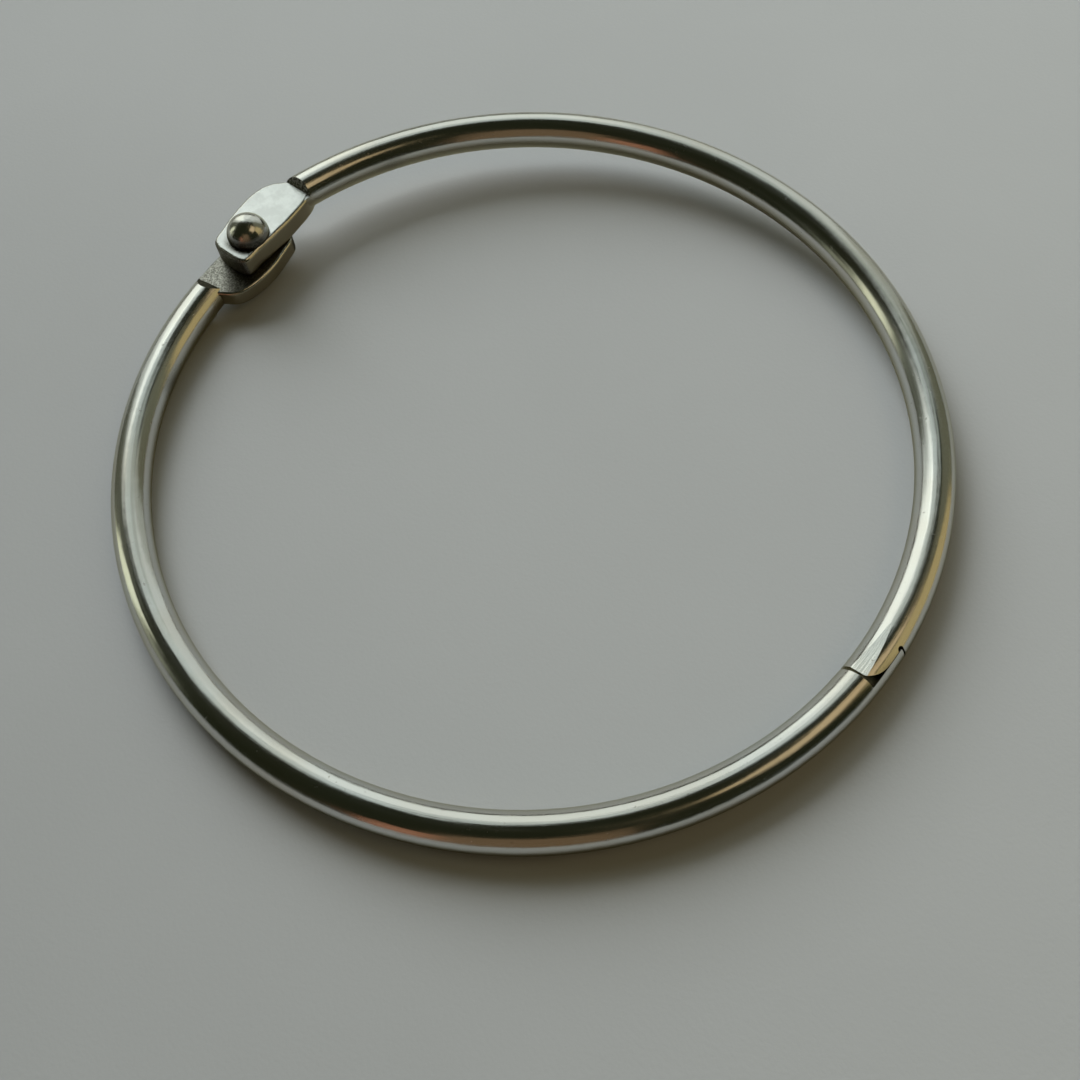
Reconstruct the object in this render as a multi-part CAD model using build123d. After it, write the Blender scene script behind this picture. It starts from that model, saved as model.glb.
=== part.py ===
from build123d import *
import os
from math import atan2, cos, degrees, radians, sin, sqrt, tan

os.makedirs("parts", exist_ok=True)

# Ring and wire, all lengths in millimetres
wire_diameter = 3.8
ring_inside_diameter = 76.0

# Hinge ears, pressed flat from the ends of the wire
upper_ear_thickness = 2.45
lower_ear_thickness = 1.9
upper_ear_sink = 0.05
lower_ear_sink = 0.75
ear_gap = 0.04
ear_step = 0.05
upper_ear_edge_round = 0.4
lower_ear_edge_round = 0.3
outer_riser_slope_deg = 70.0
outer_riser_distance = 8.0
mating_riser_slope_deg = 35.0
mating_riser_distance = 6.3
buried_end_distance = 5.0
buried_end_round = 1.2
rivet_inset = 1.1

# Rivet that holds the ears together
rivet_shank_diameter = 2.2
rivet_running_clearance = 0.04
rivet_head_diameter = 4.6
rivet_head_rim = 0.25
rivet_head_dome = 2.0
rivet_foot_diameter = 3.6
rivet_foot_rim = 0.15
rivet_foot_dome = 0.6

# Clasp, a half lap that the upper arm closes over the lower one
clasp_angle_deg = -1.0
lap_lean_deg = 42.0
lap_gap = 0.06
lap_end_gap = 0.3
upper_tip_reach = 2.05
notch_wall_reach = 2.5
notch_relief_radius = 0.32
nose_start = 0.45
nose_drop = 1.55
press_run = 5.6
press_depth = 0.08
press_lean_deg = -16.0

# Ear outlines in shares of the wire diameter, measured from the rivet axis.
# Each row is the distance toward the arm and the edge position, outward positive.
upper_outline_shares = (
    (2.42, 0.28), (2.12, 0.60), (1.80, 0.90), (1.36, 1.05), (0.90, 1.06),
    (0.45, 0.99), (0.0, 0.885), (-0.42, 0.765), (-0.74, 0.645),
    (-0.875, 0.43), (-0.905, 0.0), (-0.885, -0.40),
    (-0.78, -0.625), (-0.42, -0.645), (0.0, -0.63), (0.45, -0.61), (0.90, -0.585),
    (1.36, -0.53), (1.80, -0.46), (2.14, -0.36), (2.42, -0.14),
)
lower_outline_shares = (
    (2.16, 0.39), (1.81, 0.53), (1.41, 0.63), (0.95, 0.69), (0.46, 0.72),
    (-0.04, 0.74), (-0.55, 0.69), (-0.90, 0.55), (-1.09, 0.29), (-1.16, -0.02),
    (-1.14, -0.31), (-0.99, -0.56), (-0.61, -0.71), (-0.12, -0.84), (0.32, -0.91),
    (0.78, -0.92), (1.18, -0.86), (1.46, -0.74), (1.66, -0.51), (1.85, -0.23),
    (2.16, 0.05),
)

# Sizes that follow from the ones above
wire_radius = wire_diameter / 2
ring_radius = ring_inside_diameter / 2 + wire_radius
hinge_radius = ring_radius - rivet_inset
mating_level = wire_radius - lower_ear_sink
lower_ear_bottom = mating_level - lower_ear_thickness
upper_ear_bottom = mating_level + ear_gap
upper_ear_top = upper_ear_bottom + upper_ear_thickness
rivet_head_level = upper_ear_top + ear_gap
arm_rise = upper_ear_bottom + wire_radius - upper_ear_sink
arm_slope_deg = degrees(atan2(arm_rise, 2 * ring_radius))
lower_shoulder_reach = upper_tip_reach + lap_end_gap
lower_tip_reach = notch_wall_reach - lap_end_gap
cut_size = 4 * wire_diameter

# Directions and places used by several pieces
half_turn = 180
full_turn = 360
clasp_out = Vector(cos(radians(clasp_angle_deg)), sin(radians(clasp_angle_deg)), 0)
clasp_along = Vector(-clasp_out.Y, clasp_out.X, 0)
clasp_centre = clasp_out * ring_radius
upright = Vector(0, 0, 1)
hinge_place = Pos(-hinge_radius, 0, 0)


def angle_at_reach(reach):
    """Ring angle of a point a given length along the wire from the clasp centre."""
    return clasp_angle_deg + degrees(reach / ring_radius)


def angle_from_hinge(distance):
    """Ring angle between the hinge line and a point at a distance to its side."""
    return degrees(atan2(distance, sqrt(ring_radius ** 2 - distance ** 2)))


def wire_arc(start_deg, end_deg):
    """Round wire bent along the ring circle from one angle to the other, rounded at its hinge end."""
    section = Plane.XZ * Pos(ring_radius, 0) * Circle(wire_radius)
    wire = Rot(0, 0, start_deg) * revolve(section, axis=Axis.Z, revolution_arc=end_deg - start_deg)
    hinge_face = wire.faces().filter_by(GeomType.PLANE).sort_by(Axis.X)[0]
    return fillet(hinge_face.edges(), buried_end_round)


def ear_plate(outline_shares, side, bottom, top, edge_round):
    """Flat leaf-shaped ear with softened rims; side is +1 for the upper arm, -1 for the lower one."""
    points = [
        (-hinge_radius - edge * wire_diameter, side * along * wire_diameter)
        for along, edge in outline_shares
    ]
    leaf = make_face(Spline(*points, periodic=True))
    plate = extrude(Pos(0, 0, bottom) * leaf, amount=top - bottom, dir=(0, 0, 1))
    rims = plate.faces().sort_by(Axis.Z)[0].edges() + plate.faces().sort_by(Axis.Z)[-1].edges()
    return fillet(rims, edge_round)


def riser_cutter(side, level, upward, slope_deg, distance):
    """Block that clears the wire beyond an ear face and slopes where the wire rises from it."""
    far_level = level + upward * cut_size
    slope_run = cut_size / tan(radians(slope_deg))
    profile = Polyline(
        (-side * cut_size, level),
        (side * distance, level),
        (side * (distance + slope_run), far_level),
        (-side * cut_size, far_level),
        close=True,
    )
    block = extrude(Plane.YZ * make_face(profile), amount=2 * cut_size, dir=(1, 0, 0))
    return Pos(-ring_radius - cut_size, 0, 0) * block


def outer_riser(side, level):
    """Step from the outer face of an ear up to the wire, parallel to the hinge line."""
    return riser_cutter(side, level, side, outer_riser_slope_deg, outer_riser_distance)


def mating_riser(side, level):
    """Slope from the mating face of an ear up to the wire, square to the wire."""
    turn = Rot(0, 0, -side * angle_from_hinge(mating_riser_distance))
    return turn * riser_cutter(side, level, -side, mating_riser_slope_deg, 0)


def across_lap(profile):
    """Runs a profile, drawn along the wire and square to the lap face, right through the wire."""
    lean = radians(lap_lean_deg)
    square_to_lap = clasp_out * cos(lean) - upright * sin(lean)
    side_plane = Plane(clasp_centre, x_dir=clasp_along, z_dir=clasp_along.cross(square_to_lap))
    return extrude(side_plane * profile, amount=cut_size, both=True)


def upper_lap_cutter():
    """Room for the lower tongue: rounded nose, flat lap face and a relieved notch corner."""
    nose_end = (-lower_shoulder_reach, -nose_drop)
    nose = TangentArc((nose_start, 0), nose_end, tangent=(-1, 0))
    sides = Polyline(
        nose_end, (-lower_shoulder_reach, cut_size), (notch_wall_reach, cut_size),
        (notch_wall_reach, 0), (nose_start, 0),
    )
    room = make_face(Curve() + [nose, sides])
    relief = Pos(notch_wall_reach - notch_relief_radius, 0) * Circle(notch_relief_radius)
    return across_lap(room) + across_lap(relief)


def lower_lap_cutter():
    """Room for the upper tip: everything above the tongue from the shoulder on."""
    room = Pos(-lower_shoulder_reach, lap_gap) * Rectangle(cut_size, cut_size, align=(Align.MIN, Align.MAX))
    return across_lap(room)


def press_cutter():
    """Shallow sloping flat pressed on top of the upper tip."""
    lean = radians(press_lean_deg)
    start_angle = radians(angle_at_reach(press_run - upper_tip_reach))
    outward = Vector(cos(start_angle), sin(start_angle), 0)
    along = Vector(-outward.Y, outward.X, 0)
    face_normal = outward * sin(lean) + upright * cos(lean)
    start = outward * ring_radius + face_normal * wire_radius
    slope = press_depth / press_run
    plane = Plane(start, x_dir=along + face_normal * slope, z_dir=face_normal - along * slope)
    return plane * Box(cut_size, cut_size, cut_size, align=(Align.MAX, Align.CENTER, Align.MIN))


def hinge_hole(radius):
    """Upright hole through an ear on the rivet axis."""
    return hinge_place * Cylinder(radius, 2 * cut_size)


def dome_head(diameter, rim, dome):
    """Rivet head standing on its flat face: a short rim under a spherical cap."""
    radius = diameter / 2
    ball = (radius ** 2 + dome ** 2) / (2 * dome)
    cap = Pos(0, 0, rim + dome - ball) * Sphere(ball)
    keep = Cylinder(radius, rim + dome, align=(Align.CENTER, Align.CENTER, Align.MIN))
    return keep & (cap + Cylinder(radius, rim, align=(Align.CENTER, Align.CENTER, Align.MIN)))


def upper_arm():
    """Arm that carries the upper ear and slopes down to the clasp."""
    hinge_end = half_turn - angle_from_hinge(buried_end_distance)
    wire = wire_arc(angle_at_reach(-upper_tip_reach), hinge_end)
    pivot = Pos(ring_radius, 0, 0)
    arm = pivot * Rot(0, arm_slope_deg, 0) * pivot.inverse() * wire
    arm -= outer_riser(1, upper_ear_top - ear_step)
    arm -= mating_riser(1, upper_ear_bottom + ear_step)
    arm -= upper_lap_cutter()
    arm -= press_cutter()
    arm += ear_plate(upper_outline_shares, 1, upper_ear_bottom, upper_ear_top, upper_ear_edge_round)
    return arm - hinge_hole(rivet_shank_diameter / 2 + rivet_running_clearance)


def lower_arm():
    """Arm that lies flat and carries the lower ear and the clasp tongue."""
    hinge_end = half_turn + angle_from_hinge(buried_end_distance)
    arm = wire_arc(hinge_end, full_turn + angle_at_reach(lower_tip_reach))
    arm -= outer_riser(-1, lower_ear_bottom + ear_step)
    arm -= mating_riser(-1, mating_level - ear_step)
    arm -= lower_lap_cutter()
    arm += ear_plate(lower_outline_shares, -1, lower_ear_bottom, mating_level, lower_ear_edge_round)
    return arm - hinge_hole(rivet_shank_diameter / 2)


def hinge_rivet():
    """Domed rivet through both ears with a low formed foot underneath."""
    shank_length = rivet_head_level - lower_ear_bottom
    shank = Cylinder(rivet_shank_diameter / 2, shank_length, align=(Align.CENTER, Align.CENTER, Align.MIN))
    head = Pos(0, 0, rivet_head_level) * dome_head(rivet_head_diameter, rivet_head_rim, rivet_head_dome)
    foot = dome_head(rivet_foot_diameter, rivet_foot_rim, rivet_foot_dome).mirror(Plane.XY)
    return hinge_place * (Pos(0, 0, lower_ear_bottom) * (shank + foot) + head)


export_step(upper_arm(), "parts/upper_arm.step")
export_step(lower_arm(), "parts/lower_arm.step")
export_step(hinge_rivet(), "parts/hinge_rivet.step")
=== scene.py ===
import math

import bpy
from mathutils import Matrix, Vector


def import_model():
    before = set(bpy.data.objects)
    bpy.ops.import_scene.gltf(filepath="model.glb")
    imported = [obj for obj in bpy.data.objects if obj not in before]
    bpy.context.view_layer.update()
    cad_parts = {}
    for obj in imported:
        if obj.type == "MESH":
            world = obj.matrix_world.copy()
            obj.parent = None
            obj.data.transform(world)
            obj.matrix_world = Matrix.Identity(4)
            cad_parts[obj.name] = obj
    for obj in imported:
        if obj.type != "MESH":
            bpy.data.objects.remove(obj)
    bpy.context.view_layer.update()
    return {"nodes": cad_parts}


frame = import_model()
nodes = frame["nodes"]

# Sizes of the ring that the materials refer to, in metres
RING_RADIUS = 0.0399
UPPER_RISE = 0.00304
UPPER_EAR_TOP = 0.00364
LOWER_EAR_TOP = 0.00115
HINGE_X = -0.0388
SHOULDER_Y = -0.0052
FLOOR_LEVEL = -0.0019

# Places between which one finish fades into another, in metres
EARS_ALONG_X = (-0.0325, -0.0340)
EARS_ALONG_Y = (0.0090, 0.0072)
FACE_CLOSENESS = (0.00012, 0.00006)
ACROSS_WIRE = (-0.0008, 0.0008)
EAR_END_LEVEL = (UPPER_EAR_TOP + 0.0001, UPPER_EAR_TOP - 0.0001)
# Reach and side of the painted rivet shadow on the upper ear's top
RIVET_SHADOW_REACH = (0.0031, 0.0024)
RIVET_SHADOW_SIDE = (-0.0005, 0.0022)
# Reach of the painted shade on the lower ear toward the upper one
SHADE_REACH = (-0.0004, 0.0020)
# Heights and side of the painted shade round the rivet's foot and flank
RIVET_FOOT_LEVEL = (0.0042, 0.0038)
RIVET_FLANK_LEVEL = (0.0052, 0.0042)
RIVET_FLANK_SIDE = (-0.0003, 0.0016)
# Reach of the floor's painted light falloff
FLOOR_FALLOFF = (-0.08, 0.08)

# Slants of a surface, read from its normal, between which one finish fades into another
# Underside: where the painted shade on the wire's underside fades in
UNDERSIDE = (0.42, -0.20)
LEVEL_FACE = (0.93, 0.985)
UPRIGHT_EDGE = (0.65, 0.30)
UPPER_STEP = (0.35, 0.60)
LOWER_SHOULDER = (0.35, 0.55)

# Level directions in which painted shade and the floor's painted light falloff change, as shares of X and
# Y
TOWARD_VIEWER_SHARES = (0.6, -0.8)
TOWARD_UPPER_EAR_SHARES = (0.75, 0.65)
ACROSS_FLOOR_SHARES = (0.73, 0.68)

# Textures: waves to a metre, detail and roughness of the noise
LINES = (2600.0, 3.0, 0.6)
RIPPLE = (420.0, 2.0, 0.5)
CLOUD = (90.0, 3.0, 0.55)
PITS = (2300.0, 1.0, 0.5)
GRAIN = (6500.0, 2.0, 0.6)
SATIN = (700.0, 3.0, 0.6)
MOTTLE = (14.0, 4.0, 0.6)
TOOTH = (2500.0, 2.0, 0.6)
LINE_STRETCH_SHARE = 0.03

# Shares of a texture between which its two tones blend
LINE_SHARES = (0.30, 0.75)
CLOUD_SHARES = (0.35, 0.70)
PIT_SHARES = (0.72, 0.78)
SATIN_SHARES = (0.35, 0.65)
SATIN_GRAIN_SHARES = (0.30, 0.70)
SHADE_GRAIN_SHARES = (0.40, 0.65)
STEP_GRAIN_SHARES = (0.40, 0.72)
SPECKLE_SHARES = (0.32, 0.70)
MOTTLE_SHARES = (0.30, 0.70)
PIT_TINT_SHARE = 0.4
DARK_FLOOR_SHARE = 0.76
FALLOFF_SHARE = 0.85
MOTTLE_SHARE = 0.15

# Roughness of each finish
PLATE_ROUGHNESS = (0.14, 0.24)
PIT_ROUGHNESS = 0.1
# Roughness of the painted shade on the wire's underside
UNDERSIDE_SHADE_ROUGHNESS = 0.28
EDGE_ROUGHNESS = 0.32
SATIN_ROUGHNESS = (0.28, 0.36)
STEP_ROUGHNESS = 0.45
PRESSED_ROUGHNESS = 0.48
SHOULDER_ROUGHNESS = 0.5
SHADE_ROUGHNESS = 0.4
PAPER_ROUGHNESS = 0.62

# Relief of each finish, and strength and depth of the relief of a material
PLATE_RELIEF = 0.5
SATIN_RELIEF = 0.6
STEP_RELIEF = 1.6
PRESSED_RELIEF = 2.0
METAL_BUMP = (0.16, 0.0002)
PAPER_BUMP = (0.15, 0.0001)

# Table and room, in metres
TABLE_RADIUS = 1.1
TABLE_SIDES = 96
ROOM_RADIUS = 6.0
ROOM_DROP = 0.01
ROOM_RINGS = 8
ROOM_SIDES = 24

# Camera, found from the outline of the ring in the photograph
CAMERA_AZIMUTH = 43.254
CAMERA_ELEVATION = 62.453
CAMERA_ROLL = -5.361
CAMERA_POSITION = (0.041851, -0.044146, 0.093127)
SENSOR_WIDTH = 36.0
LENS = 36.667
CLIP_START = 0.001

# Colours, linear
NICKEL = (0.66, 0.67, 0.65)
NICKEL_WARM = (0.64, 0.625, 0.575)
PIT = (0.30, 0.29, 0.25)
# Painted shade on the wire's underside, for the shadowed floor it mirrors; darker on the outer side
UNDERSIDE_SHADE_INSIDE = (0.40, 0.37, 0.265)
UNDERSIDE_SHADE_OUTSIDE = (0.20, 0.19, 0.145)
GLANCING = (0.70, 0.68, 0.56)
# Painted shade on the ears' upright edges, brown for the shadowed floor they mirror
EDGE_SHADE_BROWN = (0.36, 0.32, 0.225)
SATIN_LIGHT = (0.69, 0.715, 0.715)
SATIN_DARK = (0.60, 0.62, 0.62)
PRESSED_LIGHT = (0.74, 0.735, 0.69)
PRESSED_MIDDLE = (0.36, 0.35, 0.315)
PRESSED_DARK = (0.24, 0.235, 0.21)
# Grainy painted shade at the hinge: round the rivet, on the steps and shoulder, and on the lower ear
# toward the upper one
SHADE_LIGHT = (0.13, 0.125, 0.105)
SHADE_DARK = (0.035, 0.033, 0.026)
FLOOR_COLOUR = (0.70, 0.732, 0.76)
ROOM_COLOUR = (0.015, 0.017, 0.0085)
BACKGROUND_COLOUR = (0.55, 0.56, 0.55)

# Soft lights: azimuth and elevation faced, spread sideways and in height (degrees), brightness, colour
LIGHT_DISTANCE = 1.2
LIGHTS = {
    "window_bright": (158, 0, (-14, 14), (8, 52), 1.35, (0.95, 1.0, 0.93)),
    "window_right": (176, 0, (-4, 5), (6, 50), 0.62, (0.95, 1.0, 0.93)),
    "window_middle": (132, 0, (-12, 12), (10, 47), 0.95, (0.94, 1.0, 0.95)),
    "window_top": (142, 0, (-22, 20), (48, 64), 0.66, (0.90, 1.0, 0.96)),
    "window_left": (108, 0, (-12, 12), (1, 44), 0.70, (0.94, 1.0, 0.95)),
    "window_corner": (90, 0, (-6, 6), (3, 45), 0.42, (0.94, 1.0, 0.90)),
    "window_left_top": (107, 0, (-13, 13), (44, 60), 0.48, (0.90, 1.0, 0.92)),
    "dim_gap": (191, 0, (-10, 12), (1, 48), 0.09, (0.95, 1.0, 0.80)),
    "side_window": (210, 0, (-7, 6), (1, 34), 1.00, (0.96, 1.0, 0.76)),
    "side_wall": (222, 0, (-6, 7), (1, 22), 0.24, (0.95, 1.0, 0.76)),
    "grey_wall": (71, 0, (-15, 13), (1, 52), 0.12, (1.0, 1.0, 0.70)),
    "warm_wall": (40, 0, (-16, 16), (1, 41), 0.46, (1.0, 0.79, 0.37)),
    "warm_shelf": (28, 54, (-17, 14), (-10, 13), 0.62, (1.0, 0.76, 0.44)),
    "copper_panel": (-79, 0, (-7, 7), (1, 28), 0.34, (1.0, 0.44, 0.26)),
    "brown_panel": (-53, 0, (-19, 19), (1, 46), 0.14, (1.0, 0.63, 0.36)),
}
# The window's direct daylight, which lights the table and is not mirrored in the metal
DAYLIGHT = (156, 32, (-18, 18), (-18, 17), 4.8, (0.98, 1.0, 1.0))


class Nodes:
    """A material's nodes, added and wired by name."""

    def __init__(self, name):
        self.material = bpy.data.materials.new(name)
        self.material.use_nodes = True
        self.tree = self.material.node_tree
        self.shader = self.tree.nodes["Principled BSDF"]

    def add(self, kind, inputs=None, **settings):
        node = self.tree.nodes.new("ShaderNode" + kind)
        for key, value in settings.items():
            setattr(node, key, value)
        for key, value in (inputs or {}).items():
            self.feed(node.inputs[key], value)
        return node

    def feed(self, socket, value):
        if isinstance(value, bpy.types.NodeSocket):
            self.tree.links.new(value, socket)
        elif isinstance(value, tuple) and socket.type == "RGBA":
            socket.default_value = (*value, 1)
        else:
            socket.default_value = value

    def math(self, operation, first, second=0.0, third=0.0):
        return self.add("Math", {0: first, 1: second, 2: third}, operation=operation).outputs[0]

    def ramp(self, value, low, high, to_low=0.0, to_high=1.0):
        inputs = {0: value, 1: low, 2: high, 3: to_low, 4: to_high}
        return self.add("MapRange", inputs, interpolation_type="SMOOTHSTEP").outputs[0]

    def mix(self, share, first, second):
        return self.add("Mix", {0: share, 6: first, 7: second}, data_type="RGBA").outputs[2]

    def blend(self, share, first, second):
        return self.add("Mix", {0: share, 2: first, 3: second}).outputs[0]

    def noise(self, vector, scale, detail=2.0, roughness=0.5):
        inputs = {"Vector": vector, "Scale": scale, "Detail": detail, "Roughness": roughness}
        return self.add("TexNoise", inputs).outputs[0]

    def parts(self, vector):
        return self.add("SeparateXYZ", {0: vector}).outputs

    def bump(self, height, strength, distance):
        inputs = {"Height": height, "Strength": strength, "Distance": distance}
        self.feed(self.shader.inputs["Normal"], self.add("Bump", inputs).outputs[0])


class Finish:
    """Colour, roughness and relief of a surface, changed step by step."""

    def __init__(self, tint, rough, height):
        self.tint, self.rough, self.height = tint, rough, height

    def cover(self, n, share, tint, rough, height):
        self.tint = n.mix(share, self.tint, tint)
        self.rough = n.blend(share, self.rough, rough)
        self.height = n.blend(share, self.height, height)


def bright_plate(n, place, normal, rise):
    """Bright nickel with drawing lines along the wire, clouds of tint, pits, and painted shade on the
    underside, darker on the outer side.
    """
    x, y, z = n.parts(place)
    reach = n.math("SQRT", n.math("MULTIPLY_ADD", x, x, n.math("MULTIPLY", y, y)))
    outward = n.math("SUBTRACT", reach, RING_RADIUS)
    along = n.math("MULTIPLY", n.math("ARCTAN2", y, x), RING_RADIUS * LINE_STRETCH_SHARE)
    upward = n.math("MULTIPLY_ADD", x, rise / (2 * RING_RADIUS), z)
    lines = n.noise(n.add("CombineXYZ", {0: along, 1: outward, 2: upward}).outputs[0], *LINES)
    ripple = n.noise(place, *RIPPLE)
    cloud = n.noise(place, *CLOUD)
    pits = n.ramp(n.noise(place, *PITS), *PIT_SHARES)
    tint = n.mix(n.ramp(cloud, *CLOUD_SHARES), NICKEL, NICKEL_WARM)
    tint = n.mix(n.math("MULTIPLY", pits, PIT_TINT_SHARE), tint, PIT)
    drawn = n.ramp(lines, *LINE_SHARES, *PLATE_ROUGHNESS)
    rough = n.math("MULTIPLY_ADD", pits, PIT_ROUGHNESS, drawn)
    height = n.math("MULTIPLY_ADD", ripple, PLATE_RELIEF, n.math("MULTIPLY", lines, PLATE_RELIEF))
    finish = Finish(tint, rough, height)
    # Painted shade: the underside is darkened, more on the outer side, for the shadowed floor it mirrors
    underside_shade = n.mix(n.ramp(outward, *ACROSS_WIRE), UNDERSIDE_SHADE_INSIDE, UNDERSIDE_SHADE_OUTSIDE)
    finish.cover(n, n.ramp(n.parts(normal)[2], *UNDERSIDE), underside_shade, UNDERSIDE_SHADE_ROUGHNESS, height)
    return finish


def near_level(n, z, normal_z, level):
    """Share of the level face at a given height."""
    close = n.ramp(n.math("ABSOLUTE", n.math("SUBTRACT", z, level)), *FACE_CLOSENESS)
    return n.math("MULTIPLY", close, n.ramp(normal_z, *LEVEL_FACE))


def viewer_side(n, x, y):
    """Distance from the rivet's axis toward the photograph's viewer."""
    x_share, y_share = TOWARD_VIEWER_SHARES
    return n.math("MULTIPLY_ADD", n.math("SUBTRACT", x, HINGE_X), x_share, n.math("MULTIPLY", y, y_share))


def shaded_ear_edges(n, finish, place, normal):
    """Upright edges of an ear, painted brown as painted shade for the shadowed floor they mirror."""
    x, y, _ = n.parts(place)
    upright = n.ramp(n.math("ABSOLUTE", n.parts(normal)[2]), *UPRIGHT_EDGE)
    beside = n.ramp(n.math("ABSOLUTE", y), *EARS_ALONG_Y)
    hinge_side = n.ramp(x, *EARS_ALONG_X)
    share = n.math("MULTIPLY", n.math("MULTIPLY", upright, beside), hinge_side)
    finish.cover(n, share, EDGE_SHADE_BROWN, EDGE_ROUGHNESS, finish.height)


def upper_ear(n, finish, place, normal):
    """Satin top of the upper ear with a painted shadow round the rivet, and the step where its wire
    rises, grainy and darkened as painted shade.
    """
    shaded_ear_edges(n, finish, place, normal)
    x, y, z = n.parts(place)
    _, normal_y, normal_z = n.parts(normal)
    hinge_side = n.ramp(x, *EARS_ALONG_X)
    grain = n.noise(place, *GRAIN)
    satin = n.mix(n.ramp(n.noise(place, *SATIN), *SATIN_SHARES), SATIN_DARK, SATIN_LIGHT)
    top = n.math("MULTIPLY", near_level(n, z, normal_z, UPPER_EAR_TOP), hinge_side)
    near_side = viewer_side(n, x, y)
    reach_x = n.math("POWER", n.math("SUBTRACT", x, HINGE_X), 2.0)
    reach = n.math("SQRT", n.math("MULTIPLY_ADD", y, y, reach_x))
    # Painted shadow of the rivet on the ear's top, on its side toward the viewer
    rivet_shadow = n.math("MULTIPLY", n.ramp(reach, *RIVET_SHADOW_REACH), n.ramp(near_side, *RIVET_SHADOW_SIDE))
    satin = n.mix(rivet_shadow, satin, n.mix(n.ramp(grain, *SHADE_GRAIN_SHARES), SHADE_DARK, PRESSED_DARK))
    rough = n.ramp(grain, *SATIN_GRAIN_SHARES, *SATIN_ROUGHNESS)
    finish.cover(n, top, satin, rough, n.math("MULTIPLY", grain, SATIN_RELIEF))
    # Painted shade on the step where the wire rises and on the ear's end, with a real grain
    step = n.math("MULTIPLY", n.ramp(n.math("MULTIPLY", normal_y, -1.0), *UPPER_STEP), hinge_side)
    end_face = n.ramp(z, *EAR_END_LEVEL)
    hollows = n.mix(end_face, SHADE_DARK, SHADE_LIGHT)
    peaks = n.mix(end_face, PRESSED_LIGHT, PRESSED_MIDDLE)
    step_shade = n.mix(n.ramp(grain, *STEP_GRAIN_SHARES), hollows, peaks)
    finish.cover(n, step, step_shade, STEP_ROUGHNESS, n.math("MULTIPLY", grain, STEP_RELIEF))


def lower_ear(n, finish, place, normal):
    """Grainy pressed face of the lower ear with painted shade toward the upper one, and its shoulder,
    darkened the same way as painted shade.
    """
    shaded_ear_edges(n, finish, place, normal)
    x, y, z = n.parts(place)
    _, normal_y, normal_z = n.parts(normal)
    hinge_side = n.ramp(x, *EARS_ALONG_X)
    grain = n.noise(place, *GRAIN)
    speckle = n.ramp(grain, *SPECKLE_SHARES)
    relief = n.math("MULTIPLY", grain, PRESSED_RELIEF)
    x_share, y_share = TOWARD_UPPER_EAR_SHARES
    inward = n.math("MULTIPLY", n.math("SUBTRACT", x, HINGE_X), x_share)
    toward = n.math("MULTIPLY_ADD", n.math("SUBTRACT", y, SHOULDER_Y), y_share, inward)
    bare_grain = n.mix(speckle, PRESSED_DARK, PRESSED_LIGHT)
    painted_shade = n.mix(speckle, SHADE_DARK, SHADE_LIGHT)
    face = n.math("MULTIPLY", near_level(n, z, normal_z, LOWER_EAR_TOP), hinge_side)
    # Painted shade on the lower ear's face, darker toward the upper ear
    finish.cover(n, face, n.mix(n.ramp(toward, *SHADE_REACH), bare_grain, painted_shade), PRESSED_ROUGHNESS, relief)
    # Painted shade on the lower shoulder
    shoulder = n.math("MULTIPLY", n.ramp(normal_y, *LOWER_SHOULDER), hinge_side)
    finish.cover(n, shoulder, painted_shade, SHOULDER_ROUGHNESS, relief)


def rivet_foot_shade(n, finish, place, normal):
    """Painted shade round the foot of the rivet's head and on its flank toward the viewer."""
    grain = n.noise(place, *GRAIN)
    x, y, z = n.parts(place)
    near_side = viewer_side(n, x, y)
    foot = n.ramp(z, *RIVET_FOOT_LEVEL)
    flank = n.math("MULTIPLY", n.ramp(z, *RIVET_FLANK_LEVEL), n.ramp(near_side, *RIVET_FLANK_SIDE))
    painted_shade = n.mix(n.ramp(grain, *SHADE_GRAIN_SHARES), SHADE_DARK, SHADE_LIGHT)
    finish.cover(n, n.math("MAXIMUM", foot, flank), painted_shade, SHADE_ROUGHNESS, finish.height)


def plated_metal(name, rise, hinge_finish_and_shade):
    """Plated metal of a piece, with the grain, satin and painted shade of its place at the hinge."""
    n = Nodes(name)
    coordinates = n.add("TexCoord")
    place = coordinates.outputs["Object"]
    normal = coordinates.outputs["Normal"]
    finish = bright_plate(n, place, normal, rise)
    hinge_finish_and_shade(n, finish, place, normal)
    n.feed(n.shader.inputs["Base Color"], finish.tint)
    n.feed(n.shader.inputs["Roughness"], finish.rough)
    n.shader.inputs["Metallic"].default_value = 1.0
    n.shader.inputs["Specular Tint"].default_value = (*GLANCING, 1)
    n.bump(finish.height, *METAL_BUMP)
    return n.material


def paper():
    """Pale grey matt surface with a faint tooth and mottling, and a painted light falloff that makes it
    brighter toward +X and +Y.
    """
    n = Nodes("floor_paper")
    place = n.add("TexCoord").outputs["Object"]
    darker = tuple(part * DARK_FLOOR_SHARE for part in FLOOR_COLOUR)
    x, y, _ = n.parts(place)
    x_share, y_share = ACROSS_FLOOR_SHARES
    # Painted light falloff: the floor is brighter toward +X and +Y
    painted_falloff = n.math("MULTIPLY_ADD", x, x_share, n.math("MULTIPLY", y, y_share))
    mottle = n.math("MULTIPLY", n.ramp(n.noise(place, *MOTTLE), *MOTTLE_SHARES), MOTTLE_SHARE)
    tone = n.math("ADD", n.ramp(painted_falloff, *FLOOR_FALLOFF, 0.0, FALLOFF_SHARE), mottle)
    n.feed(n.shader.inputs["Base Color"], n.mix(tone, darker, FLOOR_COLOUR))
    n.shader.inputs["Roughness"].default_value = PAPER_ROUGHNESS
    n.bump(n.noise(place, *TOOTH), *PAPER_BUMP)
    return n.material


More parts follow.
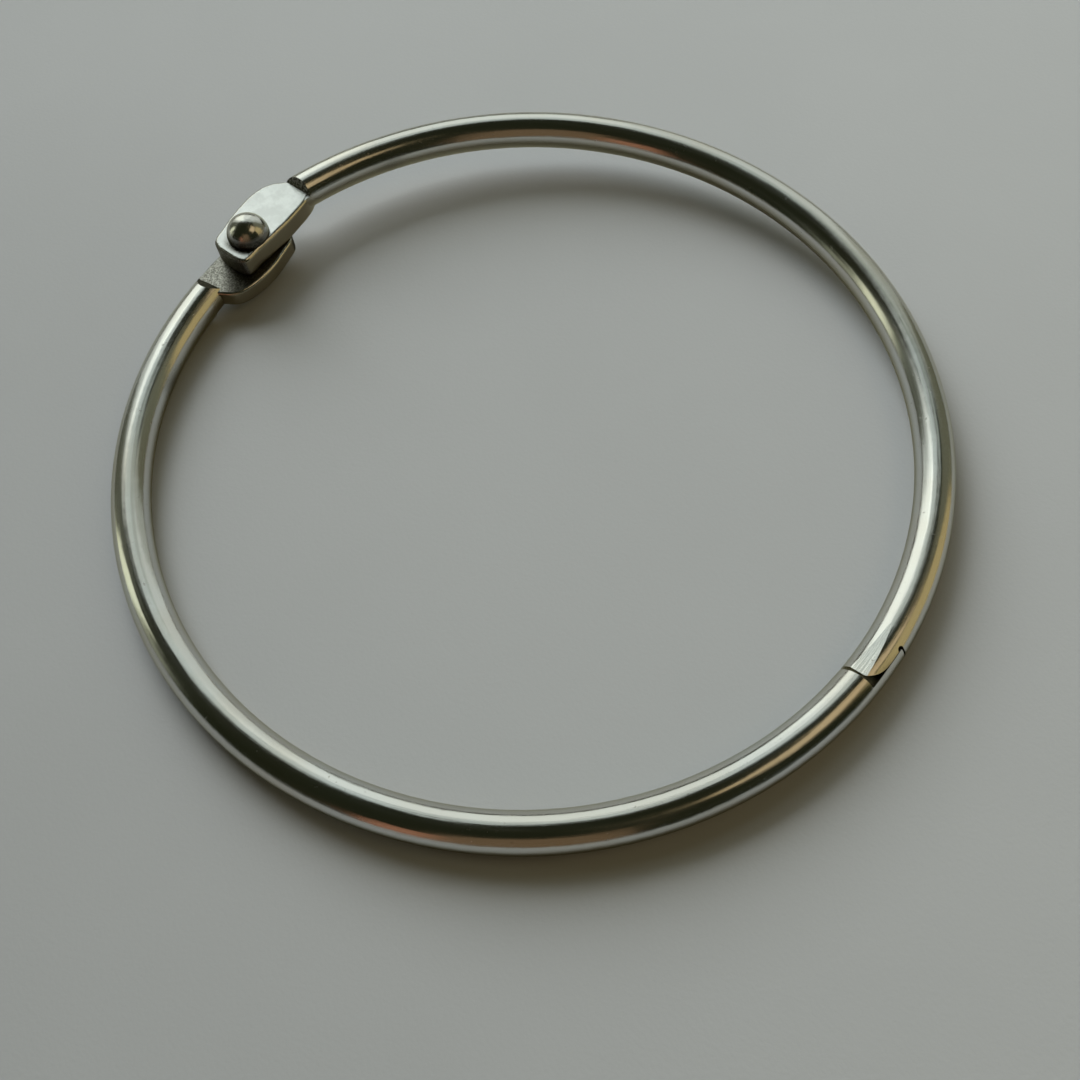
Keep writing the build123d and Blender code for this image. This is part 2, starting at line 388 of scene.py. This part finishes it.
def dim_walls():
    """Even dim tone of the room around the table."""
    n = Nodes("room_walls")
    n.shader.inputs["Base Color"].default_value = (0, 0, 0, 1)
    n.shader.inputs["Specular IOR Level"].default_value = 0.0
    n.shader.inputs["Emission Color"].default_value = (*ROOM_COLOUR, 1)
    n.shader.inputs["Emission Strength"].default_value = 1.0
    n.material.cycles.emission_sampling = "NONE"
    return n.material


def mesh_object(name, vertices, faces, material):
    mesh = bpy.data.meshes.new(name)
    mesh.from_pydata(vertices, [], faces)
    mesh.materials.append(material)
    thing = bpy.data.objects.new(name, mesh)
    bpy.context.scene.collection.objects.link(thing)
    return thing


def floor():
    """Round table top that ends short of the lights."""
    turns = [math.radians(360 * side / TABLE_SIDES) for side in range(TABLE_SIDES)]
    rim = [(TABLE_RADIUS * math.cos(turn), TABLE_RADIUS * math.sin(turn), FLOOR_LEVEL) for turn in turns]
    mesh_object("floor", rim, [tuple(range(TABLE_SIDES))], paper())


def dark_room():
    """Dark walls and ceiling around the table, seen only in the reflections."""
    vertices = []
    for ring in range(ROOM_RINGS):
        rise = math.radians(90 * ring / ROOM_RINGS)
        across = ROOM_RADIUS * math.cos(rise)
        height = FLOOR_LEVEL - ROOM_DROP + ROOM_RADIUS * math.sin(rise)
        for side in range(ROOM_SIDES):
            turn = math.radians(360 * side / ROOM_SIDES)
            vertices.append((across * math.cos(turn), across * math.sin(turn), height))
    vertices.append((0, 0, ROOM_RADIUS))
    top_ring = (ROOM_RINGS - 1) * ROOM_SIDES
    faces = []
    for side in range(ROOM_SIDES):
        after = (side + 1) % ROOM_SIDES
        for low in range(0, top_ring, ROOM_SIDES):
            high = low + ROOM_SIDES
            faces.append((low + side, low + after, high + after, high + side))
        faces.append((top_ring + side, top_ring + after, len(vertices) - 1))
    room = mesh_object("dark_room", vertices, faces, dim_walls())
    room.visible_camera = False


def panel(name, azimuth, elevation, span, rise, brightness, colour):
    """Soft flat light that faces the ring, unseen by the camera itself."""
    left, right = (LIGHT_DISTANCE * math.tan(math.radians(angle)) for angle in span)
    low, high = (LIGHT_DISTANCE * math.tan(math.radians(angle)) for angle in rise)
    turn, lift = math.radians(azimuth), math.radians(elevation)
    lamp = bpy.data.lights.new(name, "AREA")
    lamp.shape = "RECTANGLE"
    lamp.size = right - left
    lamp.size_y = high - low
    lamp.energy = brightness * math.pi * lamp.size * lamp.size_y
    lamp.color = colour
    thing = bpy.data.objects.new(name, lamp)
    outward = Vector((math.cos(turn) * math.cos(lift), math.sin(turn) * math.cos(lift), math.sin(lift)))
    side = Vector((-math.sin(turn), math.cos(turn), 0))
    up = outward.cross(side)
    place = outward * LIGHT_DISTANCE + side * (left + right) / 2 + up * (low + high) / 2
    axes = Matrix((side, up, outward)).transposed().to_4x4()
    thing.matrix_world = Matrix.Translation(place) @ axes
    thing.visible_camera = False
    bpy.context.scene.collection.objects.link(thing)
    return thing


def lights():
    for name, values in LIGHTS.items():
        panel(name, *values)
    panel("daylight", *DAYLIGHT).visible_glossy = False


def camera():
    """Camera where the photograph was taken from."""
    turn, rise, roll = (math.radians(a) for a in (CAMERA_AZIMUTH, CAMERA_ELEVATION, CAMERA_ROLL))
    back = Vector((math.sin(turn) * math.cos(rise), -math.cos(turn) * math.cos(rise), math.sin(rise)))
    level = Vector((math.cos(turn), math.sin(turn), 0))
    upward = back.cross(level)
    right = level * math.cos(roll) + upward * math.sin(roll)
    up = upward * math.cos(roll) - level * math.sin(roll)
    data = bpy.data.cameras.new("camera")
    data.lens = LENS
    data.sensor_width = SENSOR_WIDTH
    data.clip_start = CLIP_START
    thing = bpy.data.objects.new("camera", data)
    axes = Matrix((right, up, back)).transposed().to_4x4()
    thing.matrix_world = Matrix.Translation(CAMERA_POSITION) @ axes
    bpy.context.scene.collection.objects.link(thing)
    bpy.context.scene.camera = thing


def world():
    scene = bpy.context.scene
    scene.world = bpy.data.worlds.new("world")
    scene.world.use_nodes = True
    scene.world.node_tree.nodes["Background"].inputs[0].default_value = (*BACKGROUND_COLOUR, 1)
    scene.view_settings.view_transform = "Standard"


finishes = {
    "upper_arm": (plated_metal("nickel_upper_arm", UPPER_RISE, upper_ear), "plated_wire"),
    "lower_arm": (plated_metal("nickel_lower_arm", 0.0, lower_ear), "plated_wire"),
    "hinge_rivet": (plated_metal("nickel_rivet", 0.0, rivet_foot_shade), "plated_rivet"),
}
for name, (material, slot) in finishes.items():
    nodes[name].data.materials.clear()
    nodes[name].data.materials.append(material)

floor()
dark_room()
lights()
camera()
world()
